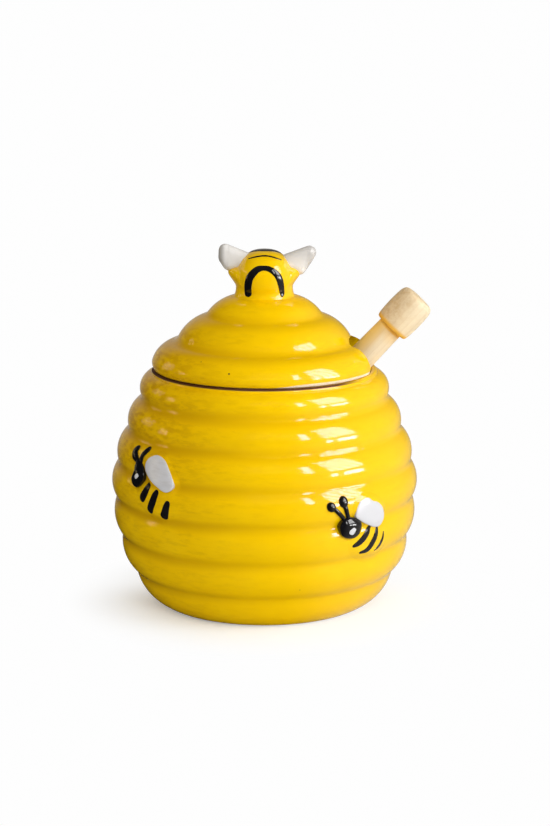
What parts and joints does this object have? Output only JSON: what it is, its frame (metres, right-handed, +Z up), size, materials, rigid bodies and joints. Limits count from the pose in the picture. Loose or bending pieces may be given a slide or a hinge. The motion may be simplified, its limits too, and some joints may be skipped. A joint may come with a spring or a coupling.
{
  "type": "beehive honey pot with lift-off lid",
  "caption": "Round ribbed beehive honey pot with a notched lift-off lid, a bee for a knob, relief bees on the wall and a wooden dipper leaning out.",
  "frame": {"origin": "middle of the foot ring on the table, on the pot's axis", "axes": "+Z up along the pot's axis; +X towards the lid's notch, which the dipper leans out through; -Y is the front"},
  "size_m": [0.1141, 0.1106, 0.1302],
  "materials": {
    "pot_glaze": "gloss yellow glaze",
    "lid_glaze": "gloss yellow glaze",
    "bee_yellow": "gloss yellow glaze",
    "bee_black": "gloss black glaze",
    "bee_white": "gloss white glaze",
    "beech": "sanded bare wood"
  },
  "bodies": {
    "pot": {"pot_body": "pot_glaze", "front_left_bee_body": "bee_yellow", "front_left_bee_head": "bee_black", "front_left_bee_wings": "bee_white", "front_right_bee_body": "bee_yellow", "front_right_bee_head": "bee_black", "front_right_bee_wings": "bee_white", "back_left_bee_body": "bee_yellow", "back_left_bee_head": "bee_black", "back_left_bee_wings": "bee_white", "back_right_bee_body": "bee_yellow", "back_right_bee_head": "bee_black", "back_right_bee_wings": "bee_white"},
    "lid": {"lid_shell": "lid_glaze", "knob_bee_body": "bee_yellow", "knob_bee_head": "bee_black", "knob_bee_wing_left": "bee_white", "knob_bee_wing_right": "bee_white"},
    "dipper": {"honey_dipper": "beech"}
  },
  "joints": [
    {"name": "lid_lift", "type": "slide", "parent": "pot", "child": "lid", "axis": [0, 0, 1], "range_m": [0, 0.12]},
    {"name": "dipper_draw", "type": "slide", "parent": "pot", "child": "dipper", "axis": [0.6871, 0, 0.7266], "range_m": [0, 0.07]}
  ]
}
